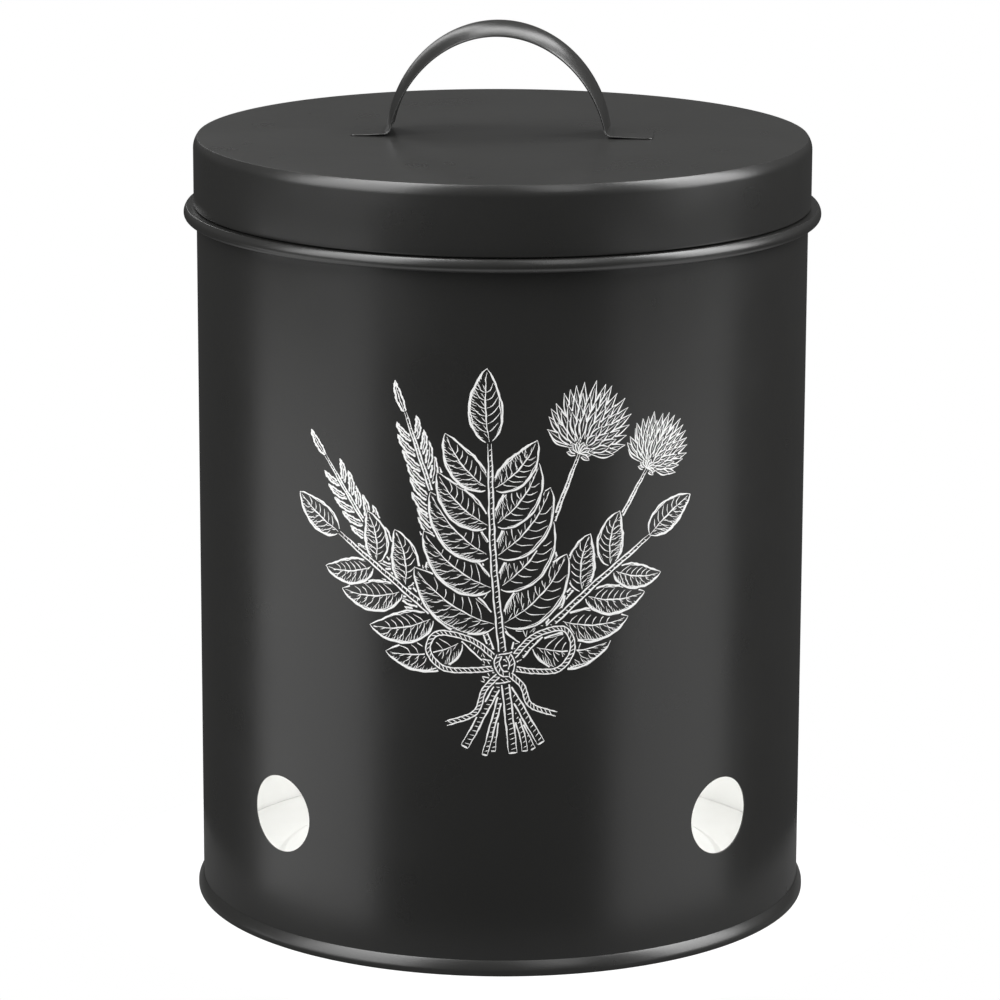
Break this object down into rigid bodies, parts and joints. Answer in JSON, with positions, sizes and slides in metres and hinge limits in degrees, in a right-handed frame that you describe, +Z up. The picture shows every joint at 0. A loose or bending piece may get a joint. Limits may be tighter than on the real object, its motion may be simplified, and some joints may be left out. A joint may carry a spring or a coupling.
{
  "type": "onion storage canister",
  "caption": "Round sheet-steel kitchen canister for onions, with punched air vents near its base and a lift-off lid with a strap handle.",
  "frame": {"origin": "centre of the canister on the surface it stands on", "axes": "+Z up along the canister's axis, -Y towards the printed front, +X to the right seen from the front"},
  "size_m": [0.1772, 0.1772, 0.2477],
  "materials": {
    "powder_coat": "fine-textured charcoal black powder coat, low sheen",
    "inside_lacquer": "smooth pale lacquer, satin",
    "print_ink": "thin white printed ink, matt"
  },
  "bodies": {
    "canister": {"body_wall": "powder_coat", "base_pan": "powder_coat"},
    "lid": {"lid_cap": "powder_coat", "lid_handle": "powder_coat"}
  },
  "joints": [
    {"name": "lid_lift", "type": "slide", "parent": "canister", "child": "lid", "axis": [0, 0, 1], "range_m": [0, 0.12]}
  ]
}
